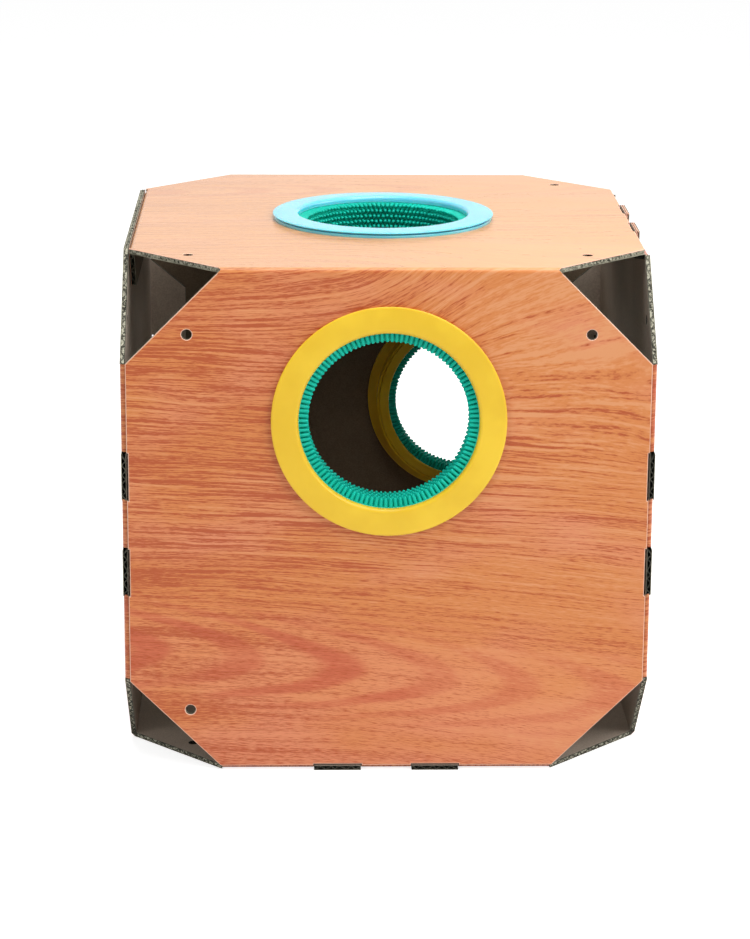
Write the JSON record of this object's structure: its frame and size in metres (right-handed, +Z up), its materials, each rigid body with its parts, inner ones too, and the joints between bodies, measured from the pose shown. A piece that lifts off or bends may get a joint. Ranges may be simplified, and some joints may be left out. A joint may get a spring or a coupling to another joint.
{
  "type": "cat scratcher box",
  "caption": "Folded corrugated board cube with cut-off corners, ringed round openings lined with soft nubs in front, back and top, and front and back panels that swing up on creases.",
  "frame": {"origin": "middle of the footprint, on the floor", "axes": "+X to the right seen from the front, +Y to the back, +Z up; the front panel faces -Y"},
  "size_m": [0.4, 0.41, 0.399],
  "materials": {
    "printed_board": "wood-grain print outside, bare dark liner inside",
    "yellow_plastic": "satin moulded",
    "blue_plastic": "satin moulded",
    "green_rubber": "soft moulded nubs"
  },
  "bodies": {
    "box_shell": {"top_panel": "printed_board", "left_panel": "printed_board", "right_panel": "printed_board", "bottom_panel": "printed_board", "top_ring_cap": "blue_plastic", "top_ring_sleeve": "blue_plastic", "top_ring_retainer": "blue_plastic", "top_comb": "green_rubber"},
    "front_leaf": {"front_panel": "printed_board", "front_ring_cap": "yellow_plastic", "front_ring_sleeve": "yellow_plastic", "front_ring_retainer": "yellow_plastic", "front_comb": "green_rubber"},
    "back_leaf": {"back_panel": "printed_board", "back_ring_cap": "yellow_plastic", "back_ring_sleeve": "yellow_plastic", "back_ring_retainer": "yellow_plastic", "back_comb": "green_rubber"}
  },
  "joints": [
    {"name": "front_fold", "type": "hinge", "parent": "box_shell", "child": "front_leaf", "pos_m": [0, -0.19883, 0.39283], "axis": [-1, 0, 0], "range_deg": [0, 90]},
    {"name": "back_fold", "type": "hinge", "parent": "box_shell", "child": "back_leaf", "pos_m": [0, 0.19883, 0.39283], "axis": [1, 0, 0], "range_deg": [0, 90]}
  ]
}
